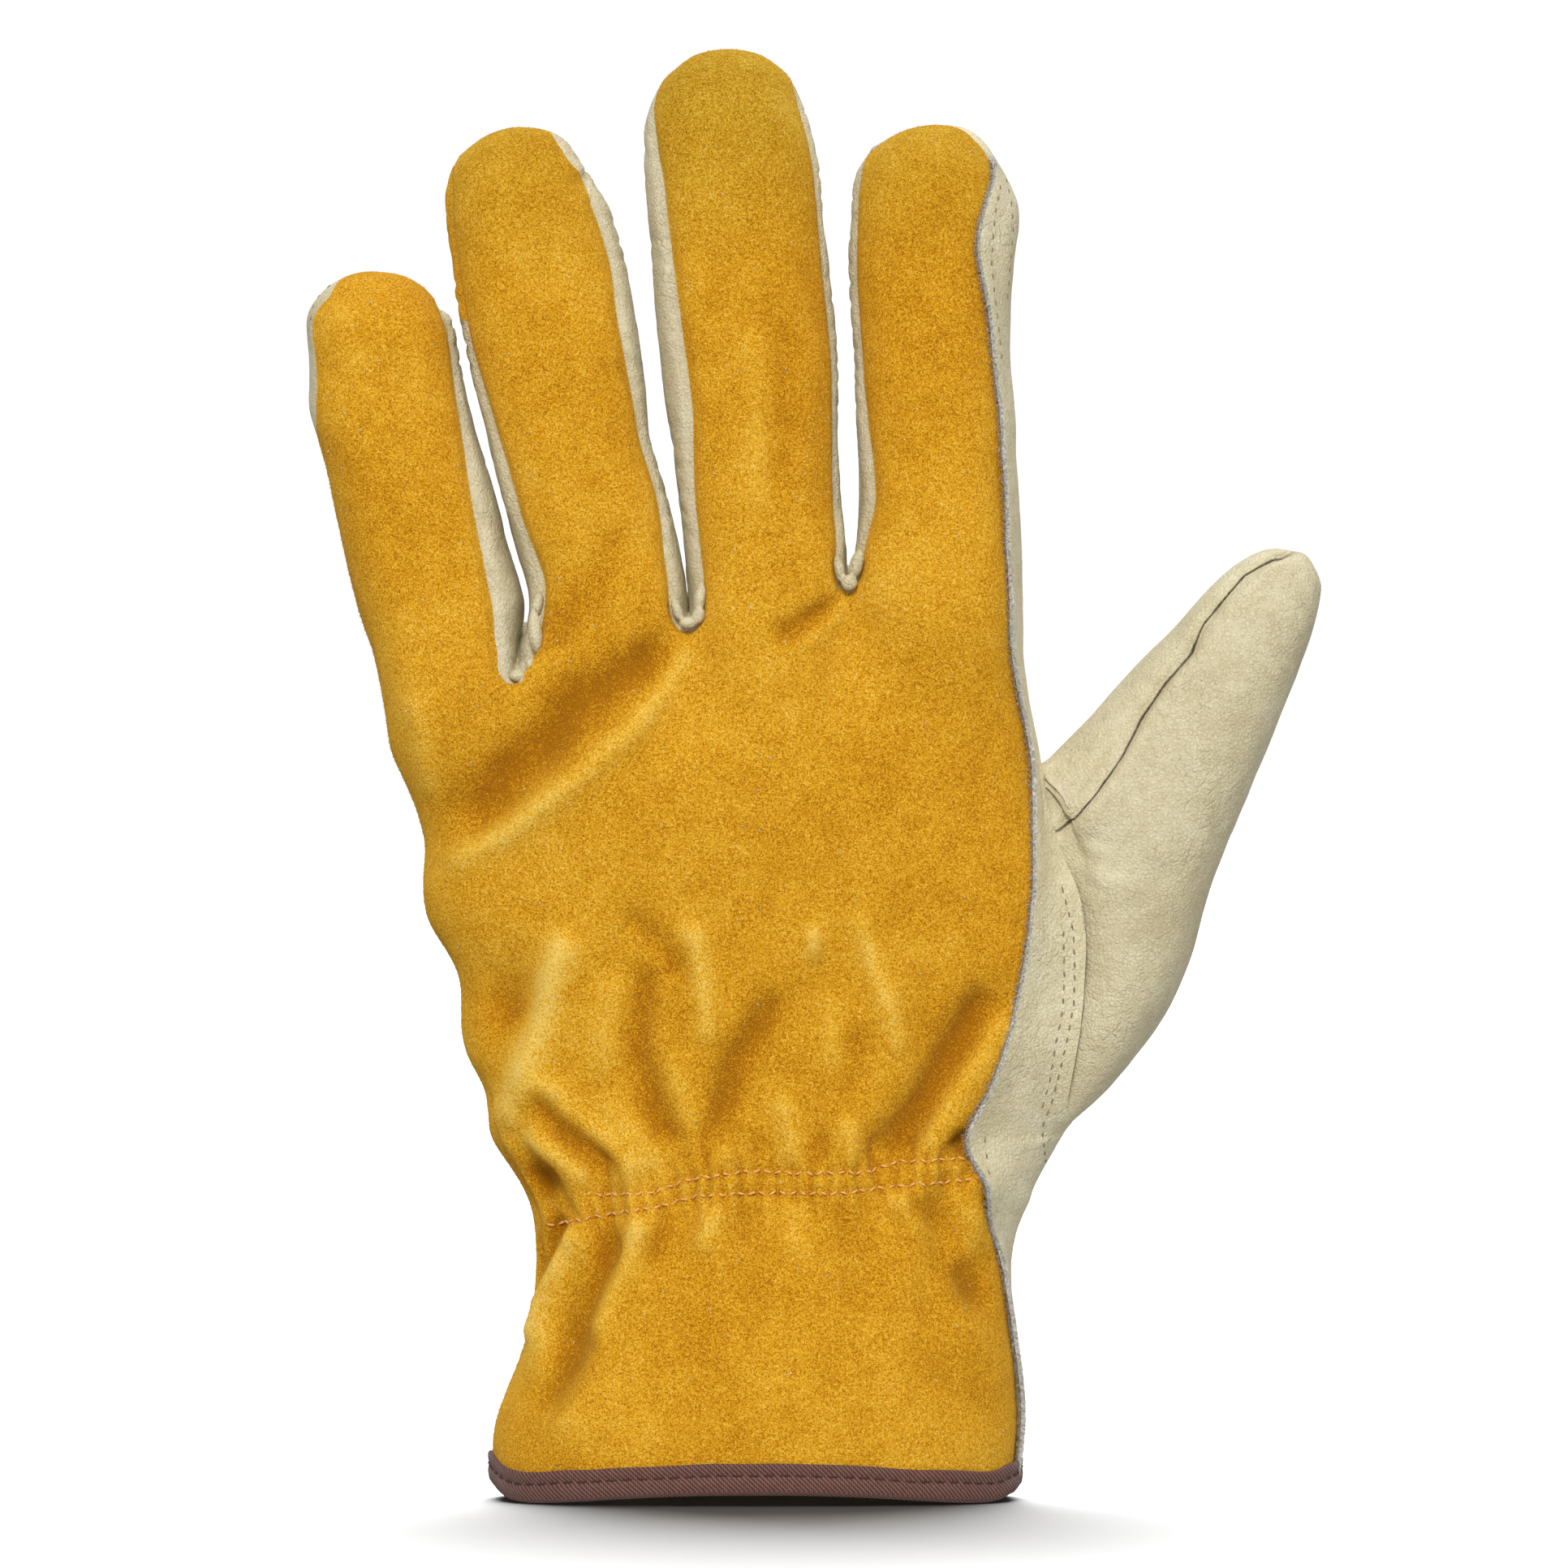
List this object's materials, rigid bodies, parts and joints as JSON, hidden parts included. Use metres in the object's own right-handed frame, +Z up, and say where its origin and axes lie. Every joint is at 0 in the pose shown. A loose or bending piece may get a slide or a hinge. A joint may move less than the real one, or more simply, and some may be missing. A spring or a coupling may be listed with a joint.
{
  "type": "leather driver glove",
  "caption": "Left leather driver glove shown as worn: golden suede back, cream grain palm, gusset strips, thumb, gathered wrist and brown hem tape.",
  "frame": {"origin": "middle of the wrist opening, level with the lowest line of the hem", "axes": "+Z up along the hand to the fingertips, +X across the knuckles to the thumb side, -Y out of the back of the hand, +Y out of the palm"},
  "size_m": [0.174, 0.0543, 0.249],
  "materials": {
    "suede": "golden split suede with a soft, brushed, mottled nap",
    "grain_leather": "cream full-grain leather with fine creases and a low sheen",
    "gusset_leather": "cream full-grain leather, finely wrinkled",
    "thumb_leather": "beige-cream full-grain leather with fine grain",
    "binding_tape": "dark brown twill-woven tape, folded over the edge"
  },
  "bodies": {
    "root": {"back_panel": "suede", "palm_panel": "grain_leather", "fourchette_little_ring": "gusset_leather", "fourchette_ring_middle": "gusset_leather", "fourchette_middle_index": "gusset_leather", "thumb": "thumb_leather", "hem_binding": "binding_tape"}
  },
  "joints": []
}
